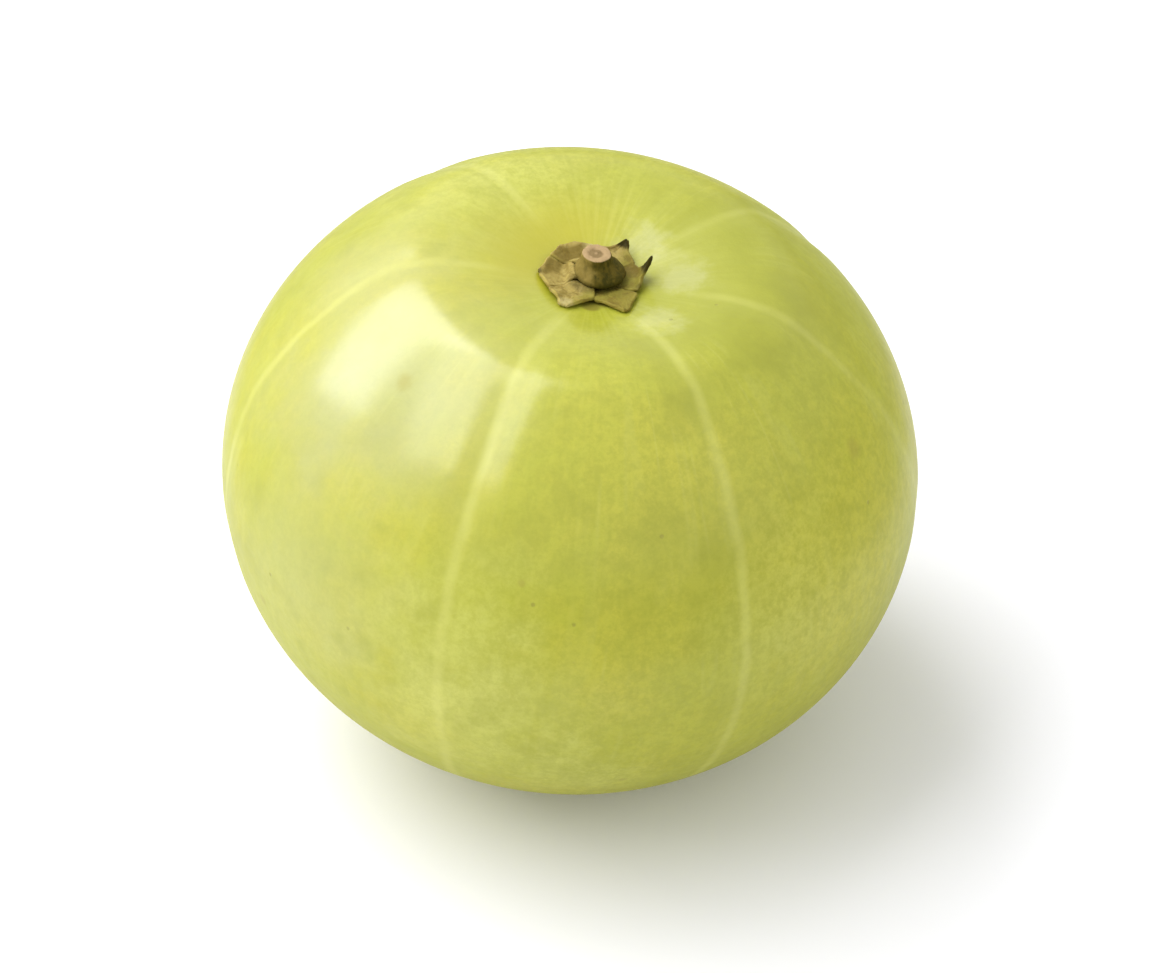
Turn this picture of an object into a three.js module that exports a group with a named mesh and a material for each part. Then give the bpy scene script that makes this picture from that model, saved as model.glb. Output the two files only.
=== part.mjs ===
// Indian gooseberry (amla, Phyllanthus emblica): one fruit as picked, resting on a small flat spot.
//
// Millimetres, +Z up. The origin is the centre of the flat resting spot, so the surface that the
// fruit lies on is z = 0. The growth axis leans towards +X. The fleshy body is one solid: an
// oblate spheroid with a shallow cavity around the stalk, a small dent at the blossom end and six
// very shallow meridian furrows. The dry calyx of six sepals lies in the stalk cavity, and the
// stub of the stalk stands on it with its flared foot over the inner ends of the sepals.

import * as THREE from "three";

// ---- driving dimensions -------------------------------------------------------------------

const BODY_WIDTH = 38; // across the equator
const BODY_HALF_HEIGHT = 16.7; // from the equator to either end, before the ends are hollowed
const CAVITY = { depth: 4.0, reach: 11.8 }; // hollow around the stalk
const BLOSSOM_DENT = { depth: 0.4, reach: 2.6 }; // hollow at the blossom end
const LEAN_DEG = 5.4; // of the growth axis, towards +X
const FLAT_DEPTH = 0.32; // how far the resting spot is pressed in, about 3.7 across its radius

// Azimuths of the furrows around the growth axis, from +X towards +Y.
const FURROW_AZIMUTHS_DEG = [-171, -111, -61, -16, 31, 131];
const FURROW = { depth: 0.14, halfWidth: 2.1 };

const SEAT_GAP = 0.1; // between the body and the dry pieces that lie on it

// One row for each sepal: its direction, its reach from the axis, how far its tip curls up, and
// the reach of the notch between it and the next one.
const SEPALS = [
  { azimuthDeg: -119, reach: 3.25, curl: 0, notchReach: 2.35 },
  { azimuthDeg: -59, reach: 3.5, curl: 0, notchReach: 2.8 },
  { azimuthDeg: 3, reach: 2.95, curl: 0.9, notchReach: 2.6 },
  { azimuthDeg: 60, reach: 3.0, curl: 0.5, notchReach: 2.6 },
  { azimuthDeg: 120, reach: 3.0, curl: 0.1, notchReach: 2.75 },
  { azimuthDeg: 182, reach: 2.95, curl: 0.05, notchReach: 2.85 },
];
const SEPAL = {
  innerReach: 0.9,
  halfAngleDeg: 28, // neighbours nearly touch along straight sides
  tipHalfWidth: 0.07,
  tipTaper: 0.8, // below 1 the sides run in to the tip in a hollow curve
  baseThickness: 0.28,
  tipThickness: 0.12,
  edgeLift: 0.35,
};

// Half section of the stalk stub, radius and height above the bottom of the cavity.
const STALK_PROFILE = [
  [0, 0.1],
  [0.72, 0.1],
  [0.78, 0.17],
  [0.78, 0.6],
  [1.3, 0.72],
  [1.45, 0.79],
  [1.51, 0.89],
  [1.46, 1.0],
  [1.33, 1.11],
  [1.14, 1.24],
  [1.0, 1.38],
  [0.9, 1.55],
  [0.84, 1.75],
  [0.79, 1.95],
  [0.74, 2.04],
  [0, 2.06],
];
const STALK_OFFSET = { foot: 0.33, top: 0.03, footStart: 0.55, footEnd: 0.88 };

const BODY_FACES = { around: 72, rings: 46 };
const STALK_FACES_AROUND = 28;
const SEPAL_FACES = { along: 10, across: 8 };

// ---- shape of the body surface ------------------------------------------------------------

const BODY_RADIUS = BODY_WIDTH / 2;

// Smooth fall from 1 at a place to 0 at the reach of a hollow around it.
function falloff(distance, reach) {
  return 1 - THREE.MathUtils.smoothstep(distance, 0, reach);
}

// Height of the stalk side of the body at a distance from the growth axis.
function stalkSideHeight(radius) {
  const share = Math.min(radius / BODY_RADIUS, 1);
  const round = BODY_HALF_HEIGHT * Math.sqrt(1 - share * share);
  return round - CAVITY.depth * falloff(Math.hypot(radius, BODY_HALF_HEIGHT - round), CAVITY.reach);
}

// Height of the blossom side, below the equator and so negative.
function blossomSideHeight(radius) {
  const share = Math.min(radius / BODY_RADIUS, 1);
  const round = -BODY_HALF_HEIGHT * Math.sqrt(1 - share * share);
  return round + BLOSSOM_DENT.depth * falloff(radius, BLOSSOM_DENT.reach);
}

// Depth of the furrows at a place on the body. They fade out towards the stalk and are
// shallower below the equator.
function furrowDepth(azimuth, latitude) {
  const radius = BODY_RADIUS * Math.cos(latitude);
  const fade = Math.min(radius / (0.45 * BODY_RADIUS), 1) * (0.65 + 0.35 * Math.sin(latitude));
  let depth = 0;
  for (const furrowDeg of FURROW_AZIMUTHS_DEG) {
    const turn = azimuth - THREE.MathUtils.degToRad(furrowDeg);
    const across = radius * Math.abs(Math.atan2(Math.sin(turn), Math.cos(turn)));
    depth += FURROW.depth * falloff(across, FURROW.halfWidth);
  }
  return depth * fade;
}

// Turns a point of the unit sphere into the matching point of the body, in the fruit's own frame.
function bodyPoint(point) {
  const latitude = Math.asin(THREE.MathUtils.clamp(point.z, -1, 1));
  const azimuth = Math.atan2(point.y, point.x);
  const radius = BODY_RADIUS * Math.cos(latitude);
  const height = latitude >= 0 ? stalkSideHeight(radius) : blossomSideHeight(radius);
  const sunk = furrowDepth(azimuth, latitude);
  const inward = sunk * Math.cos(latitude);
  return point.set(
    (radius - inward) * Math.cos(azimuth),
    (radius - inward) * Math.sin(azimuth),
    height - sunk * Math.sin(latitude),
  );
}

// Runs a function over every vertex of a geometry and leaves it with fresh normals.
function moveVertices(geometry, move) {
  const position = geometry.getAttribute("position");
  const point = new THREE.Vector3();
  for (let i = 0; i < position.count; i += 1) {
    move(point.fromBufferAttribute(position, i));
    position.setXYZ(i, point.x, point.y, point.z);
  }
  geometry.computeVertexNormals();
  return geometry;
}

// ---- placing the leaning fruit on its flat spot -------------------------------------------

const lean = THREE.MathUtils.degToRad(LEAN_DEG);
const supportHeight = Math.hypot(BODY_RADIUS * Math.sin(lean), BODY_HALF_HEIGHT * Math.cos(lean));
const contactOffset =
  ((BODY_RADIUS ** 2 - BODY_HALF_HEIGHT ** 2) * Math.sin(lean) * Math.cos(lean)) / supportHeight;

const growthFrame = new THREE.Matrix4()
  .makeRotationY(lean)
  .setPosition(-contactOffset, 0, supportHeight - FLAT_DEPTH);

// ---- pieces -------------------------------------------------------------------------------

function makeBody() {
  const geometry = new THREE.SphereGeometry(1, BODY_FACES.around, BODY_FACES.rings);
  geometry.rotateX(Math.PI / 2);
  moveVertices(geometry, (point) => {
    bodyPoint(point).applyMatrix4(growthFrame);
    point.z = Math.max(point.z, 0);
    return point;
  });
  const material = new THREE.MeshStandardMaterial({
    color: 0xc6c652,
    roughness: 0.35,
    metalness: 0,
  });
  const mesh = new THREE.Mesh(geometry, material);
  mesh.name = "fruit_body";
  return mesh;
}

function makeStalk() {
  const outline = STALK_PROFILE.map(([radius, height]) => new THREE.Vector2(radius, height));
  const geometry = new THREE.LatheGeometry(outline, STALK_FACES_AROUND);
  geometry.rotateX(Math.PI / 2);
  const { foot, top, footStart, footEnd } = STALK_OFFSET;
  const height = STALK_PROFILE.at(-1)[1];
  moveVertices(geometry, (point) => {
    const overSepals = THREE.MathUtils.smoothstep(point.z, footStart, footEnd);
    const upStub = THREE.MathUtils.smoothstep(point.z, footEnd, height);
    point.x += foot * overSepals + (top - foot) * upStub;
    point.z += stalkSideHeight(0);
    return point;
  });
  const material = new THREE.MeshStandardMaterial({
    color: 0x6b5a36,
    roughness: 0.85,
    metalness: 0,
  });
  const mesh = new THREE.Mesh(geometry, material);
  mesh.name = "stalk";
  return mesh;
}

// How far a place on a sepal lies past the shoulder, where its side leaves the neighbour's side:
// 0 up to the shoulder and 1 at the tip.
function pastShoulder(distance, shoulder, reach) {
  return THREE.MathUtils.clamp((distance - shoulder) / (reach - shoulder), 0, 1);
}

// A sepal's two sides run straight along its neighbours as far as the notches between them, and
// then run in to the pointed tip. Its edges are raised off the body between the base and the tip.
function makeSepal({ azimuthDeg, reach, curl, notchReach }, notchBefore, number, material) {
  const geometry = new THREE.BoxGeometry(1, 1, 1, SEPAL_FACES.along, SEPAL_FACES.across, 1);
  const halfAngle = THREE.MathUtils.degToRad(SEPAL.halfAngleDeg);
  moveVertices(geometry, (point) => {
    const along = point.x + 0.5;
    const across = 2 * point.y;
    const isTop = point.z > 0;
    const distance = THREE.MathUtils.lerp(SEPAL.innerReach, reach, along);
    const shoulder = (across > 0 ? notchReach : notchBefore) * Math.cos(halfAngle);
    const past = pastShoulder(distance, shoulder, reach);
    const straight = Math.min(distance, shoulder) * Math.tan(halfAngle);
    const halfWidth = THREE.MathUtils.lerp(straight, SEPAL.tipHalfWidth, past ** SEPAL.tipTaper);
    const thickness = THREE.MathUtils.lerp(SEPAL.baseThickness, SEPAL.tipThickness, along);
    const edge = SEPAL.edgeLift * across * across * along * (1 - past);
    const seat = stalkSideHeight(Math.hypot(distance, across * halfWidth)) + SEAT_GAP;
    const underside = seat + edge + curl * along ** 5;
    return point.set(distance, across * halfWidth, underside + (isTop ? thickness : 0));
  });
  geometry.rotateZ(THREE.MathUtils.degToRad(azimuthDeg));
  const mesh = new THREE.Mesh(geometry, material);
  mesh.name = `sepal_${number}`;
  return mesh;
}

function makeCalyx() {
  const calyx = new THREE.Group();
  const material = new THREE.MeshStandardMaterial({
    color: 0xa99a5c,
    roughness: 0.8,
    metalness: 0,
  });
  SEPALS.forEach((sepal, index) => {
    const { notchReach: notchBefore } = SEPALS.at(index - 1);
    calyx.add(makeSepal(sepal, notchBefore, index + 1, material));
  });
  return calyx;
}

// ---- the fruit ----------------------------------------------------------------------------

const stalkEnd = new THREE.Group();
stalkEnd.add(makeStalk(), makeCalyx());
stalkEnd.applyMatrix4(growthFrame);

const group = new THREE.Group();
group.name = "indian_gooseberry";
group.add(makeBody(), stalkEnd);

export default group;
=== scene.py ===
import math

import bmesh
import bpy
from mathutils import Matrix, Vector


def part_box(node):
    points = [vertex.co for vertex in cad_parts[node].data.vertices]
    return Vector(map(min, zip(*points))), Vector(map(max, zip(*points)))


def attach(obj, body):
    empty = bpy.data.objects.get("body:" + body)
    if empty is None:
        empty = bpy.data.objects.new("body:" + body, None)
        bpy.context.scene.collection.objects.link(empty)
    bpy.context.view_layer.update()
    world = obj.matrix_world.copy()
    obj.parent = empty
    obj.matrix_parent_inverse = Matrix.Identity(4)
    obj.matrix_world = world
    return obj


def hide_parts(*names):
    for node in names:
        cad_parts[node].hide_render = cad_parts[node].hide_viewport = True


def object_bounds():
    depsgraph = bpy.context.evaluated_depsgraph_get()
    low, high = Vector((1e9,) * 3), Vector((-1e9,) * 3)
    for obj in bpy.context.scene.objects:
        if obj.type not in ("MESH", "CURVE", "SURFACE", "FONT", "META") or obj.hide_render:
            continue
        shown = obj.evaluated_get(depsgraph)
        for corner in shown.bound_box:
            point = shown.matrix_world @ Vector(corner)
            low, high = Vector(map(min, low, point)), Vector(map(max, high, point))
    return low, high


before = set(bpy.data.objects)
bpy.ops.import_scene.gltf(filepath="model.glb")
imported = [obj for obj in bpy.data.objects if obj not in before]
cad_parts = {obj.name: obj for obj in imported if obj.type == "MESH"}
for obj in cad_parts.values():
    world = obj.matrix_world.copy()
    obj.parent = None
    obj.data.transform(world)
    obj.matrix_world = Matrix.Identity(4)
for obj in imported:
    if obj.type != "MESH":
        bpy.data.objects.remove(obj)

MM = 0.001

cad_low, cad_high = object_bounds()

# ---- camera ---------------------------------------------------------------------------------
# A long lens looks down on the fruit from the front, so that the stalk end and the front of the
# body both show, with room on the right for the shadow.

CAMERA_ELEVATION = math.radians(39.5)
CAMERA_DISTANCE = 285 * MM
CAMERA_LENS_MM = 160
CAMERA_AIM_SHIFT = Vector((0.8, 0, -0.6)) * MM

aim = (cad_low + cad_high) / 2 + CAMERA_AIM_SHIFT
toward_camera = Vector((0, -math.cos(CAMERA_ELEVATION), math.sin(CAMERA_ELEVATION)))
bpy.ops.object.camera_add(location=aim + toward_camera * CAMERA_DISTANCE)
camera = bpy.context.object
camera.rotation_euler = toward_camera.to_track_quat("Z", "Y").to_euler()
camera.data.lens = CAMERA_LENS_MM
camera.data.sensor_width = 36
camera.data.clip_start = 10 * MM
camera.data.clip_end = 20
bpy.context.scene.camera = camera

# ---- fruit body -----------------------------------------------------------------------------
# The fleshy body of the gooseberry: one grown piece, a little flattened, hollowed around the
# stalk, with a tight waxy skin. Six pale veins run down it from stalk to blossom end, each in a
# very shallow furrow.

body_low, body_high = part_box("fruit_body")
BODY_RADIUS = (body_high.y - body_low.y) / 2
BODY_HALF_HEIGHT = 16.7 * MM
CAVITY_DEPTH = 4.0 * MM
CAVITY_REACH = 11.8 * MM
BLOSSOM_DENT_DEPTH = 0.4 * MM
BLOSSOM_DENT_REACH = 2.6 * MM
LEAN = math.radians(5.4)
FLAT_DEPTH = 0.32 * MM
SEGMENTS = 240
RINGS = 150
POLE_REACH = 0.01 * MM
# the veins: azimuth at the equator in degrees, and how far it swings for each mm up the fruit
VEINS = ((-168.5, -0.35), (-111.1, -0.10), (-61.3, 0), (-6, -0.8), (31.5, 0.3), (130.5, -0.2))

support_height = math.hypot(BODY_RADIUS * math.sin(LEAN), BODY_HALF_HEIGHT * math.cos(LEAN))
body_centre = Vector(((body_low.x + body_high.x) / 2, 0, support_height - FLAT_DEPTH))


def pick(keep):
    """Selects only those vertices of the piece in edit mode for whose place keep is true."""
    mesh = bmesh.from_edit_mesh(bpy.context.edit_object.data)
    for vertex in mesh.verts:
        vertex.select_set(keep(vertex.co))
    mesh.select_flush_mode()
    bmesh.update_edit_mesh(bpy.context.edit_object.data)


def start(add_primitive, name, **sizes):
    """Adds a primitive on its own and leaves it in edit mode."""
    bpy.ops.object.select_all(action="DESELECT")
    add_primitive(**sizes)
    piece = bpy.context.object
    piece.name = piece.data.name = name
    bpy.ops.object.mode_set(mode="EDIT")
    return piece


def lean_into_place():
    """Moves the piece in edit mode from an upright growth axis to the leaning one in the frame."""
    bpy.ops.mesh.select_all(action="SELECT")
    bpy.ops.transform.rotate(value=-LEAN, orient_axis="Y", center_override=(0, 0, 0))
    bpy.ops.transform.translate(value=body_centre)


fruit = start(
    bpy.ops.mesh.primitive_uv_sphere_add,
    "fruit",
    segments=SEGMENTS,
    ring_count=RINGS,
    radius=BODY_RADIUS,
)
bpy.ops.transform.resize(value=(1, 1, BODY_HALF_HEIGHT / BODY_RADIUS))

# the hollows at both ends
for end, push, spread in (
    (1, CAVITY_DEPTH, CAVITY_REACH),
    (-1, BLOSSOM_DENT_DEPTH, BLOSSOM_DENT_REACH),
):
    pick(lambda co: end * co.z > 0 and math.hypot(co.x, co.y) < POLE_REACH)
    bpy.ops.transform.translate(
        value=(0, 0, -end * push),
        use_proportional_edit=True,
        proportional_edit_falloff="SMOOTH",
        proportional_size=spread,
    )

# the furrows, each pressed in with overlapping strokes, deepest high on the fruit; one row is a
# stroke's depth and the lowest and highest place on the growth axis that it reaches, in mm
FURROW_HALF_WIDTH = 1.7 * MM
FURROW_INNER_REACH = 6 * MM
FURROW_STROKES = ((0.045, 9, 15.5), (0.04, 6.5, 15), (0.025, 2, 13), (0.035, -8, 6))


def furrow_stroke(vein, depth, low, high):
    """Presses one stroke of a furrow in along its vein."""
    azimuth_deg, swing_deg = vein

    def on_stroke(co):
        vein_azimuth = math.radians(azimuth_deg + swing_deg * co.z / MM)
        turn = math.remainder(math.atan2(co.y, co.x) - vein_azimuth, 2 * math.pi)
        on_line = abs(turn) < math.pi / SEGMENTS and math.hypot(co.x, co.y) > FURROW_INNER_REACH
        return on_line and low < co.z < high

    pick(on_stroke)
    bpy.ops.transform.shrink_fatten(
        value=-depth,
        use_proportional_edit=True,
        proportional_edit_falloff="SMOOTH",
        proportional_size=FURROW_HALF_WIDTH,
    )


for vein in VEINS:
    for depth, low, high in FURROW_STROKES:
        furrow_stroke(vein, depth * MM, low * MM, high * MM)

# the flat spot that the fruit rests on
lean_into_place()
pick(lambda co: co.z < 0)
bpy.ops.transform.resize(value=(1, 1, 0), center_override=(0, 0, 0))
bpy.ops.object.mode_set(mode="OBJECT")
bpy.ops.object.shade_smooth()


class Shade:
    """One socket of a material's nodes. Arithmetic on it adds the Math nodes that work it out."""

    def __init__(self, tree, socket=None):
        self.tree = tree
        self.socket = socket

    def node(self, kind, inputs=None, output=0, **settings):
        """Adds a node, sets it up, feeds its inputs and returns one of its outputs."""
        made = self.tree.nodes.new(kind)
        for setting, value in settings.items():
            setattr(made, setting, value)
        for name, value in (inputs or {}).items():
            if isinstance(value, Shade):
                self.tree.links.new(value.socket, made.inputs[name])
            else:
                made.inputs[name].default_value = value
        return Shade(self.tree, made.outputs[output]) if made.outputs else None

    def math(self, operation, *values):
        return self.node("ShaderNodeMath", dict(enumerate(values)), operation=operation)

    def __add__(self, other):
        return self.math("ADD", self, other)

    def __radd__(self, other):
        return self.math("ADD", other, self)

    def __sub__(self, other):
        return self.math("SUBTRACT", self, other)

    def __rsub__(self, other):
        return self.math("SUBTRACT", other, self)

    def __mul__(self, other):
        return self.math("MULTIPLY", self, other)

    def __rmul__(self, other):
        return self.math("MULTIPLY", other, self)

    def __truediv__(self, other):
        return self.math("DIVIDE", self, other)

    def __pow__(self, other):
        return self.math("POWER", self, other)

    def __abs__(self):
        return self.math("ABSOLUTE", self)

    def max(self, other):
        return self.math("MAXIMUM", self, other)

    def ramp(self, low, high):
        """Rises smoothly from 0 to 1 as the value goes from low to high, or falls if low > high."""
        low, high, bottom, top = (low, high, 0, 1) if low < high else (high, low, 1, 0)
        return self.node(
            "ShaderNodeMapRange",
            {"Value": self, "From Min": low, "From Max": high, "To Min": bottom, "To Max": top},
            interpolation_type="SMOOTHSTEP",
        )

    def mix(self, first, second):
        """Mixes two colours by this value."""
        return self.node("ShaderNodeMix", {0: self, 6: first, 7: second}, output=2, data_type="RGBA")

    def parts(self):
        """The X, Y and Z of a vector."""
        return [self.node("ShaderNodeSeparateXYZ", {"Vector": self}, output=axis) for axis in "XYZ"]

    def noise(self, scale, detail=2.0, roughness=0.5):
        return self.node(
            "ShaderNodeTexNoise",
            {"Vector": self, "Scale": scale, "Detail": detail, "Roughness": roughness},
        )


def new_material(name):
    """An empty material, and the Shade from which its nodes are made."""
    material = bpy.data.materials.new(name)
    material.use_nodes = True
    material.node_tree.nodes.clear()
    return material, Shade(material.node_tree)


def growth_place(shade):
    """Place in mm from the middle of the fruit, with Z along the leaning growth axis."""
    return shade.node(
        "ShaderNodeMapping",
        {
            "Vector": shade.node("ShaderNodeTexCoord", output="Object"),
            "Location": body_centre,
            "Rotation": (0, LEAN, 0),
            "Scale": (MM, MM, MM),
        },
        vector_type="TEXTURE",
    )


def finish_material(shade, **sockets):
    """Ends a material with a Principled shader."""
    named = {name.replace("_", " "): value for name, value in sockets.items()}
    shader = shade.node("ShaderNodeBsdfPrincipled", named)
    shade.node("ShaderNodeOutputMaterial", {"Surface": shader})


SKIN_GREEN = (0.448, 0.463, 0.030, 1)
SKIN_YELLOW = (0.54, 0.515, 0.038, 1)
SKIN_DEEP_AND_SHADED = (0.33, 0.345, 0.015, 1)
SKIN_PALE_AND_LIT = (0.66, 0.67, 0.17, 1)
VEIN_CREAM = (0.72, 0.72, 0.20, 1)
REFLECTION_WHITE = (0.66, 0.66, 0.42, 1)
WAX_BLOOM_AND_SHEEN = (0.44, 0.45, 0.28, 1)
OCHRE = (0.48, 0.44, 0.010, 1)
BRUISE = (0.36, 0.31, 0.03, 1)
SPECK_BROWN = (0.17, 0.14, 0.02, 1)
SCAR_BROWN = (0.12, 0.075, 0.02, 1)
CALYX_STAIN_AND_SHADE = (0.20, 0.16, 0.015, 1)
# soft patches of paler or greener skin, partly the flesh's own tone and partly painted light and
# shade: azimuth in degrees, height from the equator and radius in mm, colour and strength
TONE_AND_LIGHT_PATCHES = (
    (135, 14.8, 9.5, SKIN_PALE_AND_LIT, 0.40),
    (-106, -2.0, 9.0, SKIN_PALE_AND_LIT, 0.48),
    (-113, 3.0, 7.5, SKIN_PALE_AND_LIT, 0.42),
    (-140, -1.0, 9.0, SKIN_PALE_AND_LIT, 0.25),
    (-88, -7.0, 6.0, SKIN_PALE_AND_LIT, 0.38),
    (-52, 4.0, 7.5, SKIN_PALE_AND_LIT, 0.28),
    (-163, 0.0, 5.5, SKIN_DEEP_AND_SHADED, 0.30),
    (8, 15.4, 10.0, SKIN_DEEP_AND_SHADED, 0.95),
    (40, 14.8, 6.0, SKIN_DEEP_AND_SHADED, 0.50),
    (-30, 15.3, 6.5, SKIN_DEEP_AND_SHADED, 0.70),
    (-114, 8.5, 4.5, SKIN_DEEP_AND_SHADED, 0.25),
    (-68, 8.0, 5.5, SKIN_DEEP_AND_SHADED, 0.45),
    (-60, 14.6, 5.0, SKIN_DEEP_AND_SHADED, 0.58),
)
# whitish wax bloom, partly a painted sheen of the light: azimuth in degrees, height from the
# equator and radius in mm, strength
BLOOMS_AND_SHEEN = (
    (-177, 12.5, 8.0, 0.35),
    (-140, 3.0, 10.0, 0.34),
    (-138, 12.0, 9.0, 0.42),
    (-152, 9.0, 6.0, 0.30),
    (-168, 6.8, 5.0, 0.22),
)
# small bruises: azimuth in degrees, height from the equator and radius in mm
MARKS = ((-100, 6.3, 0.18), (-28, 9.0, 0.5), (-138, 12.1, 0.45), (-150, -3.0, 0.3), (-78, -7.5, 0.2))
# painted reflections of the light in the hollow beside the calyx: place across the growth axis and
# radius in mm
PAINTED_REFLECTIONS = ((2.6, 3.0, 1.9), (4.7, -0.1, 1.9), (3.4, -4.1, 1.8))
# middle of the notch between the two front sepals, across the growth axis in mm
NOTCH_X = -0.1
NOTCH_Y = -2.4
STAIN_AND_SHADE_REACH = 2.1
# skin relief, and how deep light goes into the flesh in each colour
SKIN_RELIEF = 0.04 * MM
FLESH_GLOW = (1.0, 0.9, 0.25)
FLESH_DEPTH = 2.0 * MM

skin, shade = new_material("fruit_skin")
place = growth_place(shade)
x, y, z = place.parts()
reach = (x * x + y * y) ** 0.5
around_x = x / (reach + 0.01)
around_y = y / (reach + 0.01)
on_left = (around_x * -0.85 - around_y * 0.3).ramp(0.1, 0.8)


def streaks(fineness, stretch, detail, roughness=0.5):
    """Noise that changes quickly around the fruit and slowly along it."""
    direction = shade.node(
        "ShaderNodeCombineXYZ",
        {"X": around_x * fineness, "Y": around_y * fineness, "Z": z * stretch},
    )
    return direction.noise(1.0, detail, roughness)


def away_from(azimuth_deg, height):
    """Distance from a place on the skin."""
    share = height * MM / BODY_HALF_HEIGHT
    out = BODY_RADIUS / MM * math.sqrt(1 - share * share)
    along_x = out * math.cos(math.radians(azimuth_deg))
    along_y = out * math.sin(math.radians(azimuth_deg))
    return ((x - along_x) ** 2 + (y - along_y) ** 2 + (z - height) ** 2) ** 0.5


# patches of greener and yellower flesh under the skin, broad patches that are partly painted light
# and shade, finer clouding and streaks, and the bloom, partly a painted sheen
clouds = place.noise(0.1)
mottle = place.noise(0.8, 4, 0.62)
fine_streaks = streaks(24, 0.25, 3, 0.6)
grain = place.noise(4.0, 3, 0.8)
colour = (clouds * 0.9 + mottle * 0.5).ramp(0.5, 0.95).mix(SKIN_GREEN, SKIN_YELLOW)
waviness = place.noise(0.35, 2)
uneven = (waviness - 0.5) * 8
# painted light and shade: some paler patches lighten the lower left, and some deeper ones darken the
# left rim and the skin below the highlight
for azimuth_deg, height, radius, patch_colour, strength in TONE_AND_LIGHT_PATCHES:
    patch = (away_from(azimuth_deg, height) + uneven).ramp(radius, 0)
    colour = (patch * strength).mix(colour, patch_colour)
islands = place.noise(0.42, 2).ramp(0.5, 0.72)
colour = (islands * 0.34).mix(colour, SKIN_DEEP_AND_SHADED)
blotches = place.noise(1.8, 3, 0.65)
depth = grain + blotches * 1.3 + mottle * 0.7 + fine_streaks * 0.6
colour = (depth.ramp(1.4, 2.2) * (0.60 - on_left * 0.28)).mix(colour, SKIN_DEEP_AND_SHADED)
# painted sheen: the whitish bloom also stands for soft light around the highlight on the left
# shoulder
for azimuth_deg, height, radius, strength in BLOOMS_AND_SHEEN:
    bloom_and_sheen = (away_from(azimuth_deg, height) + uneven * 0.4).ramp(radius, 0)
    colour = (bloom_and_sheen * strength).mix(colour, WAX_BLOOM_AND_SHEEN)

# the shoulder around the stalk has fine pale rays, and the skin under the calyx and in the notch
# between the front sepals is darkened, partly a stain and partly painted shade
stalk_side = z.ramp(2, 9)
crown = stalk_side * reach.ramp(9, 3.5)
rays = streaks(22, 0.3, 2, 0.6)
toward_front_left = (around_x * -0.5 - around_y * 0.85).ramp(0.3, 0.9)
ray_strength = 0.26 - toward_front_left * 0.11 - around_x.ramp(0.1, 0.9) * 0.15
colour = (crown * rays.ramp(0.35, 0.75) * ray_strength).mix(colour, SKIN_PALE_AND_LIT)
in_notch = ((x - NOTCH_X) ** 2 + (y - NOTCH_Y) ** 2) ** 0.5
# painted shade: the brown under the calyx's rim and in the front notch is partly a stain and partly
# shade
stained_and_shaded = reach.ramp(2.75, STAIN_AND_SHADE_REACH).max(in_notch.ramp(0.65, 0.35)) * stalk_side
colour = (stained_and_shaded * 0.8).mix(colour, CALYX_STAIN_AND_SHADE)

# hair-fine pale lines along the flanks, broken here and there
hair = streaks(13, 0.06, 1)
hair_line = abs(hair - 0.5).ramp(0.08, 0.0) * place.noise(0.35, 1).ramp(0.45, 0.7)
colour = (hair_line * reach.ramp(5, 9) * 0.09).mix(colour, SKIN_PALE_AND_LIT)

# the six veins, each with a faint pale border, fainter on the right
wave = (place.noise(0.22) - 0.5) * 0.8 * reach.ramp(2, 12)
twist = reach * z
vein = 0.0
border = 0.0
for azimuth_deg, swing_deg in VEINS:
    sine = math.sin(math.radians(azimuth_deg))
    cosine = math.cos(math.radians(azimuth_deg))
    aside = abs(x * sine - y * cosine + twist * math.radians(swing_deg) + wave)
    on_this_side = (x * cosine + y * sine).ramp(0, 2)
    vein = (aside.ramp(0.5, 0.05) * on_this_side).max(vein)
    border = (aside.ramp(1.7, 0.2) * on_this_side).max(border)
vein_strength = place.noise(0.3, 3).ramp(0.2, 0.62) * reach.ramp(3.5, 7)
faded = 1 - (around_x * 0.85 + around_y * 0.5).ramp(-0.1, 0.7) * 0.4
colour = (border * 0.05).mix(colour, SKIN_PALE_AND_LIT)
colour = (vein * faded * (reach.ramp(3, 6) * 0.13 + vein_strength * 0.17)).mix(colour, VEIN_CREAM)

# painted reflections of the light in the hollow on the right of the calyx, and an ochre blush
# behind it on the left
painted_reflections = 0.0
for along_x, along_y, radius in PAINTED_REFLECTIONS:
    away = ((x - along_x) ** 2 + (y - along_y) ** 2) ** 0.5 + (mottle - 0.5) * 3
    painted_reflections = away.ramp(radius, radius * 0.2).max(painted_reflections)
painted_reflections = painted_reflections * stalk_side * reach.ramp(2.6, 3.2)
# painted reflection: pale places beside the calyx where the light mirrors in the hollow
colour = (painted_reflections * 0.25).mix(colour, REFLECTION_WHITE)
blush = stalk_side * reach.ramp(8, 3.5) * (around_y * 0.65 - around_x * 0.76).ramp(0, 0.9)
colour = (blush * 0.82).mix(colour, OCHRE)

# small bruises, dark specks in the skin, and the scar at the blossom end
bruise = 0.0
for azimuth_deg, height, radius in MARKS:
    away = away_from(azimuth_deg, height) + (mottle - 0.5) * radius * 2
    bruise = away.ramp(radius * 1.6, radius * 0.4).max(bruise)
colour = (bruise * 0.5).mix(colour, BRUISE)
speck = shade.node("ShaderNodeTexVoronoi", {"Vector": place, "Scale": 0.45})
speck_luck = shade.node("ShaderNodeTexVoronoi", {"Vector": place, "Scale": 0.45}, output="Color")
is_speck = speck.ramp(0.07, 0.03) * speck_luck.parts()[0].ramp(0.72, 0.78)
colour = (is_speck * 0.35).mix(colour, SPECK_BROWN)
scar = reach.ramp(0.9, 0.45) * z.ramp(-12, -14)
colour = scar.mix(colour, SCAR_BROWN)

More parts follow.
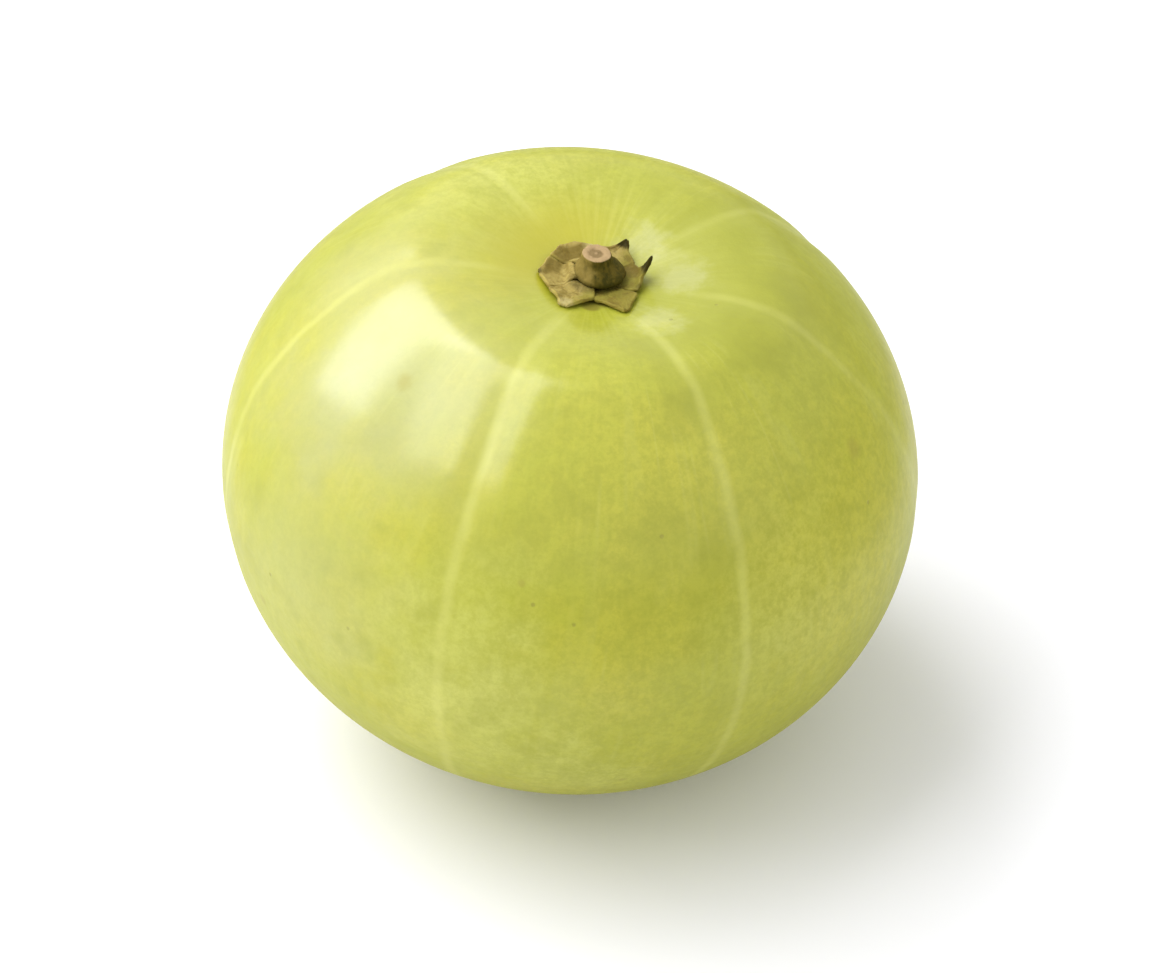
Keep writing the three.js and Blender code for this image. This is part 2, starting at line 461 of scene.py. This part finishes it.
dimples = place.noise(1.5, 4, 0.6)
relief = waviness * 4 + (dimples * 1.1 + grain * 0.15) * (1 - on_left * 0.4)
relief = relief - is_speck * 0.8 - scar * 2
roughness = 0.5 + (mottle - 0.5) * 0.2 + painted_reflections * 0.1 + scar * 0.3
finish_material(
    shade,
    Base_Color=colour,
    Roughness=roughness,
    Normal=shade.node("ShaderNodeBump", {"Strength": 0.7, "Distance": SKIN_RELIEF, "Height": relief}),
    IOR=1.42,
    Subsurface_Weight=0.3,
    Subsurface_Radius=FLESH_GLOW,
    Subsurface_Scale=FLESH_DEPTH,
    Coat_Weight=(0.35 + z.ramp(-9, 6) * 0.6) * (1 - around_x.ramp(0.2, 0.9) * 0.25),
    Coat_Roughness=0.2,
    Coat_IOR=1.6,
)
fruit.data.materials.append(skin)
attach(fruit, "root")
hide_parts("fruit_body")

# ---- stalk ----------------------------------------------------------------------------------
# The stub that stays on a picked fruit: dry brown wood, cut square on top, with a ribbed foot
# that flares out over the inner ends of the sepals, further on the right than on the left.

SEAT_HEIGHT = BODY_HALF_HEIGHT - CAVITY_DEPTH
STALK_SIDES = 48
# radius, height above the bottom of the hollow, and shift of the ring to the right, in mm
STALK_RINGS = (
    (0.74, 0.02, 0.00),
    (0.78, 0.55, 0.05),
    (1.20, 0.63, 0.25),
    (1.34, 0.71, 0.31),
    (1.37, 0.84, 0.32),
    (1.32, 0.99, 0.32),
    (1.22, 1.14, 0.28),
    (1.09, 1.27, 0.21),
    (0.97, 1.40, 0.14),
    (0.88, 1.57, 0.09),
    (0.83, 1.78, 0.05),
    (0.79, 2.02, 0.03),
)
STALK_RIBS = 9
RIB_HEIGHT = 0.05 * MM
RIB_HALF_WIDTH = 0.35 * MM
RIB_LOW = 0.7 * MM
RIB_HIGH = 1.4 * MM
RIB_CENTRE_X = 0.25 * MM
RIB_UNEVENNESS = 0.18
# insets and depths of the rings worked into the cut face, in mm: rim, wood and sunken pith
STALK_CUT_RINGS = ((0.05, 0.03), (0.06, 0.01), (0.2, 0.0), (0.07, -0.05), (0.18, -0.01), (0.1, 0.02))
# height of the cut face above the bottom of the hollow, and radius of the pith, in mm
CUT_HEIGHT = 2.0
PITH_RADIUS = 0.44
BARK_RELIEF = 0.06 * MM
BARK_BROWN = (0.115, 0.085, 0.010, 1)
BARK_DARK_AND_SHADE = (0.045, 0.040, 0.003, 1)
BARK_PALE_AND_LIT = (0.27, 0.20, 0.050, 1)
CUT_WOOD = (0.42, 0.29, 0.145, 1)
CUT_PITH = (0.24, 0.165, 0.070, 1)

stalk = start(
    bpy.ops.mesh.primitive_circle_add,
    "stalk_stub",
    vertices=STALK_SIDES,
    radius=STALK_RINGS[0][0] * MM,
    fill_type="NGON",
)
bpy.ops.transform.translate(value=(0, 0, STALK_RINGS[0][1] * MM))
for (radius, height, shift), (next_radius, next_height, next_shift) in zip(
    STALK_RINGS, STALK_RINGS[1:]
):
    step = Vector((next_shift - shift, 0, next_height - height)) * MM
    bpy.ops.mesh.extrude_region_move(TRANSFORM_OT_translate={"value": step})
    bpy.ops.transform.resize(
        value=(next_radius / radius, next_radius / radius, 1),
        center_override=Vector((next_shift, 0, next_height)) * MM,
    )
for inset, rise in STALK_CUT_RINGS:
    bpy.ops.mesh.inset(thickness=inset * MM, depth=rise * MM)
bpy.ops.mesh.poke()

# ribs on the flared foot
for rib in range(STALK_RIBS):
    rib_azimuth = 2 * math.pi * (rib + RIB_UNEVENNESS * math.sin(rib * 2.4)) / STALK_RIBS

    def on_rib(co):
        turn = math.remainder(math.atan2(co.y, co.x - RIB_CENTRE_X) - rib_azimuth, 2 * math.pi)
        return abs(turn) < math.pi / STALK_SIDES and RIB_LOW < co.z < RIB_HIGH

    pick(on_rib)
    bpy.ops.transform.shrink_fatten(
        value=RIB_HEIGHT,
        use_proportional_edit=True,
        proportional_edit_falloff="SMOOTH",
        proportional_size=RIB_HALF_WIDTH,
    )
bpy.ops.mesh.select_all(action="SELECT")
bpy.ops.transform.translate(value=(0, 0, SEAT_HEIGHT))
lean_into_place()
bpy.ops.mesh.normals_make_consistent(inside=False)
bpy.ops.object.mode_set(mode="OBJECT")


def roughen(piece, name, grain, amount, levels):
    """Smooths a dry piece and gives it an uneven surface."""
    smooth = piece.modifiers.new("smooth", "SUBSURF")
    smooth.levels = smooth.render_levels = levels
    bpy.ops.object.modifier_apply(modifier=smooth.name)
    texture = bpy.data.textures.new(name, "CLOUDS")
    texture.noise_scale = grain
    texture.noise_depth = 3
    shrivel = piece.modifiers.new("shrivel", "DISPLACE")
    shrivel.texture = texture
    shrivel.texture_coords = "LOCAL"
    shrivel.strength = amount
    bpy.ops.object.modifier_apply(modifier=shrivel.name)
    bpy.ops.object.shade_smooth()


roughen(stalk, "stalk_bark", grain=0.35 * MM, amount=0.11 * MM, levels=2)

# dark bark with fibres along it and pale blotches, with painted light making it paler on the left
# and painted shade low under the flared foot, and the pale cut face with its pith
bark, shade = new_material("stalk_bark")
place = growth_place(shade)
x, y, z = place.parts()
height = z - SEAT_HEIGHT / MM
fibres = shade.node("ShaderNodeCombineXYZ", {"X": x * 5, "Y": y * 5, "Z": z * 0.9}).noise(1.0, 4, 0.6)
blotches = place.noise(1.3, 3)
colour = (fibres * 0.6 + blotches * 0.5).ramp(0.42, 0.68).mix(BARK_DARK_AND_SHADE, BARK_BROWN)
# painted light: paler towards the left, on top of pale blotches
pale_and_lit_left = (blotches + fibres * 0.3 - x * 0.55).ramp(0.62, 1.0)
colour = (pale_and_lit_left * 0.8).mix(colour, BARK_PALE_AND_LIT)
# painted shade: darker low on the stalk, under its flared foot
colour = (height.ramp(1.05, 0.8) * 0.6).mix(colour, BARK_DARK_AND_SHADE)
from_middle = (x * x + y * y) ** 0.5
inside_rim = from_middle.ramp(0.66, 0.6) * height.ramp(1.85, 1.9)
cut = height.ramp(CUT_HEIGHT, CUT_HEIGHT + 0.05).max(inside_rim) * from_middle.ramp(0.88, 0.8)
pith = (from_middle + (blotches - 0.5) * 0.3).ramp(PITH_RADIUS, 0.3) * from_middle.ramp(0.02, 0.14)
colour = cut.mix(colour, pith.mix(CUT_WOOD, CUT_PITH))
finish_material(
    shade,
    Base_Color=colour,
    Roughness=0.72 + (fibres - 0.5) * 0.3,
    Normal=shade.node(
        "ShaderNodeBump",
        {"Strength": 0.8, "Distance": BARK_RELIEF, "Height": fibres + blotches * 0.5},
    ),
    IOR=1.4,
    Specular_IOR_Level=0.2,
)
stalk.data.materials.append(bark)
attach(stalk, "root")
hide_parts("stalk")

# ---- sepals ---------------------------------------------------------------------------------
# The dry calyx: six broad sepals of thick papery tissue, grown out from under the foot of the
# stalk. Side by side they make a plate in the hollow of the fruit, with a raised wavy rim and
# small dark tips, some of them curled up.

SEPAL_ROWS = 16
SEPAL_COLUMNS = 12
SEPAL_INNER_REACH = 0.85
SEPAL_HALF_ANGLE = math.radians(30.5)
SEPAL_THICKNESS = 0.2 * MM
SEPAL_RISE = 0.2
SEPAL_UNEVENNESS = 0.045 * MM
SEPAL_RELIEF = 0.05 * MM
# how late along a sepal its tip curls up and sways, higher for later
CURL_POWER = 6
SWAY_POWER = 4
# height left to a row's gutter, so that the row keeps its width
LEAST_LIFT = 0.01
# part of the spacing of rows or columns within which a vertex is on one
ON_LINE = 0.3
RIDGE_WIDTH_INWARD = 0.6
RIDGE_WIDTH_OUTWARD = 0.26
# azimuth in degrees; reach, curl, half width and sideways sway of the tip in mm; how the sepal
# narrows to it, evenly at 1 and early below 1; lift of the rim, reach and height of the ridge
# around the stalk, and reach of the notch between the sepal and the next one, in mm
SEPALS = (
    (-118, 3.40, -0.05, 0.20, 0.0, 0.8, 0.35, 1.25, 0.28, 1.95),
    (-59, 3.55, -0.05, 0.14, -0.1, 0.8, 0.15, 1.50, 0.05, 2.80),
    (3, 2.98, 1.35, 0.05, 0.05, 0.3, 0.12, 1.50, 0.0, 2.65),
    (60, 3.00, 0.65, 0.07, -0.30, 0.5, 0.28, 1.30, 0.15, 2.60),
    (120, 2.90, 0.05, 0.42, 0.0, 0.8, 0.34, 1.12, 0.60, 2.75),
    (182, 2.95, 0.0, 0.16, 0.0, 0.8, 0.30, 1.14, 0.50, 2.85),
)
SEPAL_TAN = (0.395, 0.305, 0.085, 1)
SEPAL_OLIVE = (0.25, 0.225, 0.028, 1)
SEPAL_BROWN_AND_SHADE = (0.17, 0.12, 0.018, 1)
SEPAL_DARK_AND_SHADE = (0.045, 0.036, 0.004, 1)
SEPAL_EDGE = (0.42, 0.36, 0.080, 1)
SEPAL_CREAM_AND_LIT = (0.56, 0.48, 0.21, 1)
# stained and bleached places, and a painted pool of light on the back sepal behind the stalk: place
# across the growth axis and radius in mm, colour, strength
SEPAL_STAINS_AND_LIGHT = (
    (2.5, -1.0, 0.45, SEPAL_DARK_AND_SHADE, 0.60),
    (-2.95, -0.1, 0.35, SEPAL_DARK_AND_SHADE, 0.80),
    # painted light: the pale place on the back sepal behind the stalk
    (0.1, 2.55, 0.8, SEPAL_CREAM_AND_LIT, 0.70),
    (-1.5, -2.7, 0.6, SEPAL_CREAM_AND_LIT, 0.60),
    (1.1, -2.5, 0.6, SEPAL_BROWN_AND_SHADE, 0.35),
    (2.1, 0.8, 0.9, SEPAL_BROWN_AND_SHADE, 0.80),
    (-2.3, -0.2, 0.6, SEPAL_BROWN_AND_SHADE, 0.25),
)


def seat_rise(distance):
    """How far the bottom of the hollow has risen at a distance from the growth axis, in mm."""
    share = distance / (BODY_RADIUS / MM)
    drop = BODY_HALF_HEIGHT / MM * (1 - math.sqrt(1 - share * share))
    along = math.hypot(distance, drop) / (CAVITY_REACH / MM)
    return CAVITY_DEPTH / MM * (3 - 2 * along) * along * along - drop


def make_sepal(number):
    """Makes one sepal, with notches towards its neighbours, and leaves it in object mode."""
    row = SEPALS[number - 1]
    azimuth_deg, tip_reach, curl, tip_half_width, sway, taper = row[:6]
    rim_lift, ridge_reach, ridge, notch_after = row[6:]
    notch_before = SEPALS[number - 2][-1]
    length = tip_reach - SEPAL_INNER_REACH
    sepal = start(
        bpy.ops.mesh.primitive_grid_add,
        f"dry_sepal_{number}",
        x_subdivisions=SEPAL_ROWS,
        y_subdivisions=SEPAL_COLUMNS,
        size=1 * MM,
        calc_uvs=True,
    )
    # a gutter along the sepal, flattened row by row below
    for column in range(SEPAL_COLUMNS + 1):
        across = column / SEPAL_COLUMNS - 0.5
        pick(lambda co: abs(co.y / MM - across) < ON_LINE / SEPAL_COLUMNS)
        bpy.ops.transform.translate(value=(0, 0, 4 * across * across * MM))
    bpy.ops.mesh.select_all(action="SELECT")
    bpy.ops.transform.resize(value=(length, 1, 1), center_override=(0, 0, 0))
    bpy.ops.transform.translate(value=((SEPAL_INNER_REACH + length / 2) * MM, 0, 0))
    on_row = ON_LINE * length / SEPAL_ROWS
    for step in range(SEPAL_ROWS + 1):
        along = step / SEPAL_ROWS
        distance = SEPAL_INNER_REACH + along * length
        for side, notch_reach in ((-1, notch_before), (1, notch_after)):
            shoulder = notch_reach * math.cos(SEPAL_HALF_ANGLE)
            past = min(max((distance - shoulder) / (tip_reach - shoulder), 0), 1)
            straight = min(distance, shoulder) * math.tan(SEPAL_HALF_ANGLE)
            narrowed = past**taper
            half_width = straight * (1 - narrowed) + tip_half_width * narrowed
            lift = rim_lift * along * (1 - past) + LEAST_LIFT
            pick(lambda co: abs(co.x / MM - distance) < on_row and side * co.y > 0)
            bpy.ops.transform.resize(value=(1, 2 * half_width, lift), center_override=(0, 0, 0))
        rise = seat_rise(distance) + SEPAL_RISE + curl * along**CURL_POWER
        ridge_width = RIDGE_WIDTH_INWARD if distance < ridge_reach else RIDGE_WIDTH_OUTWARD
        rise += ridge * math.exp(-(((distance - ridge_reach) / ridge_width) ** 2))
        pick(lambda co: abs(co.x / MM - distance) < on_row)
        bpy.ops.transform.translate(value=(0, sway * along**SWAY_POWER * MM, rise * MM))
    bpy.ops.mesh.select_all(action="SELECT")
    bpy.ops.transform.vertex_random(offset=SEPAL_UNEVENNESS, seed=number)
    bpy.ops.transform.rotate(
        value=-math.radians(azimuth_deg), orient_axis="Z", center_override=(0, 0, 0)
    )
    bpy.ops.transform.translate(value=(0, 0, SEAT_HEIGHT))
    lean_into_place()
    bpy.ops.object.mode_set(mode="OBJECT")
    thicken = sepal.modifiers.new("thicken", "SOLIDIFY")
    thicken.thickness = SEPAL_THICKNESS
    thicken.offset = 0
    bpy.ops.object.modifier_apply(modifier=thicken.name)
    roughen(sepal, f"sepal_{number}_wrinkles", grain=0.5 * MM, amount=0.14 * MM, levels=2)
    return sepal


# tan on the left and greener on the right, with painted shade in the hollows and around the stalk
dry_leaf, shade = new_material("dry_sepal")
place = growth_place(shade)
x, y, z = place.parts()
reach = (x * x + y * y) ** 0.5
u, v, _ = shade.node("ShaderNodeTexCoord", output="UV").parts()
fibres = shade.node("ShaderNodeCombineXYZ", {"X": u * 2, "Y": v * 14, "Z": 0.0})
fibres = fibres.noise(1.0, 3, 0.6)
blotches = place.noise(1.1, 4, 0.6)
greener = (x / 2 - y / 3 + (blotches - 0.5) * 1.5).ramp(-0.2, 0.6)
colour = (greener * 0.85).mix(SEPAL_TAN, SEPAL_OLIVE)
colour = (place.noise(1.9, 4, 0.6).ramp(0.45, 0.62) * 0.6).mix(colour, SEPAL_BROWN_AND_SHADE)
# painted shade: browner at the front right, in the hollow behind the ridge and against the foot of
# the stalk
front_right_shade = (x * 0.6 - y).ramp(1.4, 2.8)
colour = (front_right_shade * 0.3).mix(colour, SEPAL_BROWN_AND_SHADE)
shade_behind_ridge = reach.ramp(1.55, 1.85) * reach.ramp(2.75, 2.45) * (y * 0.8 - x * 0.6).ramp(1.1, 1.7)
colour = (shade_behind_ridge * 0.85).mix(colour, SEPAL_BROWN_AND_SHADE)
colour = (fibres.ramp(0.55, 0.7) * 0.3).mix(colour, SEPAL_DARK_AND_SHADE)
from_edge = 0.5 - abs(v - 0.5)
pale_edge = from_edge.ramp(0.1, 0.02) * u.ramp(0.35, 0.6) * blotches.ramp(0.45, 0.6)
colour = (pale_edge * 0.4).mix(colour, SEPAL_EDGE)
# painted shade where the foot of the stalk overhangs the sepals
shade_under_foot = reach.ramp(1.75, 1.45) * (x * 0.8 - y).ramp(-0.9, 0.2)
colour = (shade_under_foot * 0.45).mix(colour, SEPAL_DARK_AND_SHADE)
for along_x, along_y, radius, mark_colour, strength in SEPAL_STAINS_AND_LIGHT:
    away = ((x - along_x) ** 2 + (y - along_y) ** 2) ** 0.5 + (blotches - 0.5) * radius
    colour = (away.ramp(radius, radius * 0.3) * strength).mix(colour, mark_colour)
# the two curled tips have dried almost black
tip = (u + (blotches - 0.5) * 0.25).ramp(0.8, 0.9) * (x + y * 0.6).ramp(1.5, 2.2)
colour = tip.mix(colour, SEPAL_DARK_AND_SHADE)
finish_material(
    shade,
    Base_Color=colour,
    Roughness=0.68 + (blotches - 0.5) * 0.3,
    Normal=shade.node(
        "ShaderNodeBump", {"Strength": 0.7, "Distance": SEPAL_RELIEF, "Height": fibres + blotches}
    ),
    IOR=1.4,
    Specular_IOR_Level=0.25,
    Subsurface_Weight=0.15,
    Subsurface_Radius=(1.0, 0.7, 0.3),
    Subsurface_Scale=0.3 * MM,
)
for number in range(1, len(SEPALS) + 1):
    sepal = make_sepal(number)
    sepal.data.materials.append(dry_leaf)
    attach(sepal, "root")
    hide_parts(f"sepal_{number}")

# ---- floor and light ------------------------------------------------------------------------
# A plain white table in a bright studio. A softbox high on the left and a dimmer panel overhead
# shape the fruit, a card on either side fills in, and the pale walls do the rest. The skin mirrors
# table and walls yellower and duller than they look, as it does in a heap of its own kind.

FLOOR_GREY = (0.76, 0.76, 0.755, 1)
FLOOR_SHEEN = (0.62, 0.62, 0.50, 1)
FLOOR_SHEEN_FAR = (0.39, 0.40, 0.20, 1)
FLOOR_WHITE = (0.955, 0.955, 1.0, 1)
ROOM_WALLS = (0.82, 0.82, 0.60, 1)
ROOM_WALLS_SHEEN = (0.82, 0.82, 0.48, 1)
ROOM_CEILING = (1.0, 1.0, 1.0, 1)
ROOM_STRENGTH = 0.70
FLOOR_SIZE = 6
LAMP_DISTANCE = 0.55
# direction from the fruit, direction of the long side, length and width seen from the fruit in
# radians, and radiance
PANELS = {
    "softbox": ((-0.60, 0.40, 0.69), (0.76, 0.39, 0.52), 1.05, 0.45, 4.2),
    "overhead_panel": ((-0.42, -0.08, 0.90), (-0.50, -0.78, -0.38), 1.12, 0.49, 2.85),
    "left_card": ((-0.90, -0.36, 0.25), (0, 0, 1), 0.80, 0.90, 1.3),
    "right_card": ((0.92, -0.25, 0.30), (0, 0, 1), 0.90, 0.60, 1.0),
}

floor = start(bpy.ops.mesh.primitive_plane_add, "floor", size=FLOOR_SIZE)
bpy.ops.object.mode_set(mode="OBJECT")
table, shade = new_material("white_table")
seen = shade.node("ShaderNodeLightPath", output="Is Camera Ray")
mirrored = shade.node("ShaderNodeLightPath", output="Is Glossy Ray")
far_x, far_y, _ = shade.node("ShaderNodeTexCoord", output="Object").parts()
far = ((far_x * far_x + far_y * far_y) ** 0.5).ramp(35 * MM, 70 * MM)
sheen = far.mix(FLOOR_SHEEN, FLOOR_SHEEN_FAR)
colour = seen.mix(mirrored.mix(FLOOR_GREY, sheen), FLOOR_WHITE)
paper = shade.node("ShaderNodeBsdfDiffuse", {"Color": colour})
shade.node("ShaderNodeOutputMaterial", {"Surface": paper})
floor.data.materials.append(table)

for name, (toward, long_side, length, width, radiance) in PANELS.items():
    toward = Vector(toward).normalized()
    bpy.ops.object.light_add(type="AREA", location=body_centre + toward * LAMP_DISTANCE)
    panel = bpy.context.object
    panel.name = panel.data.name = name
    across = toward.cross(Vector(long_side)).normalized()
    panel.rotation_euler = Matrix((across.cross(toward), across, toward)).transposed().to_euler()
    panel.data.shape = "RECTANGLE"
    panel.data.size = length * LAMP_DISTANCE
    panel.data.size_y = width * LAMP_DISTANCE
    panel.data.energy = radiance * math.pi * panel.data.size * panel.data.size_y
    # the cards only fill, so that the gloss mirrors the softbox and the panel alone
    panel.visible_glossy = not name.endswith("card")

room = bpy.data.worlds.new("white_room")
bpy.context.scene.world = room
room.use_nodes = True
room.node_tree.nodes.clear()
shade = Shade(room.node_tree)
seen = shade.node("ShaderNodeLightPath", output="Is Camera Ray")
mirrored = shade.node("ShaderNodeLightPath", output="Is Glossy Ray")
up = shade.node("ShaderNodeTexCoord", output="Generated").parts()[2]
walls = mirrored.mix(ROOM_WALLS, ROOM_WALLS_SHEEN)
colour = up.ramp(0.05, 0.35).mix(walls, ROOM_CEILING)
lit = shade.node("ShaderNodeBackground", {"Color": colour, "Strength": ROOM_STRENGTH})
white = shade.node("ShaderNodeBackground", {"Color": ROOM_CEILING, "Strength": 1.0})
both = shade.node("ShaderNodeMixShader", {0: seen, 1: lit, 2: white})
shade.node("ShaderNodeOutputWorld", {"Surface": both})

bpy.context.scene.view_settings.view_transform = "Standard"
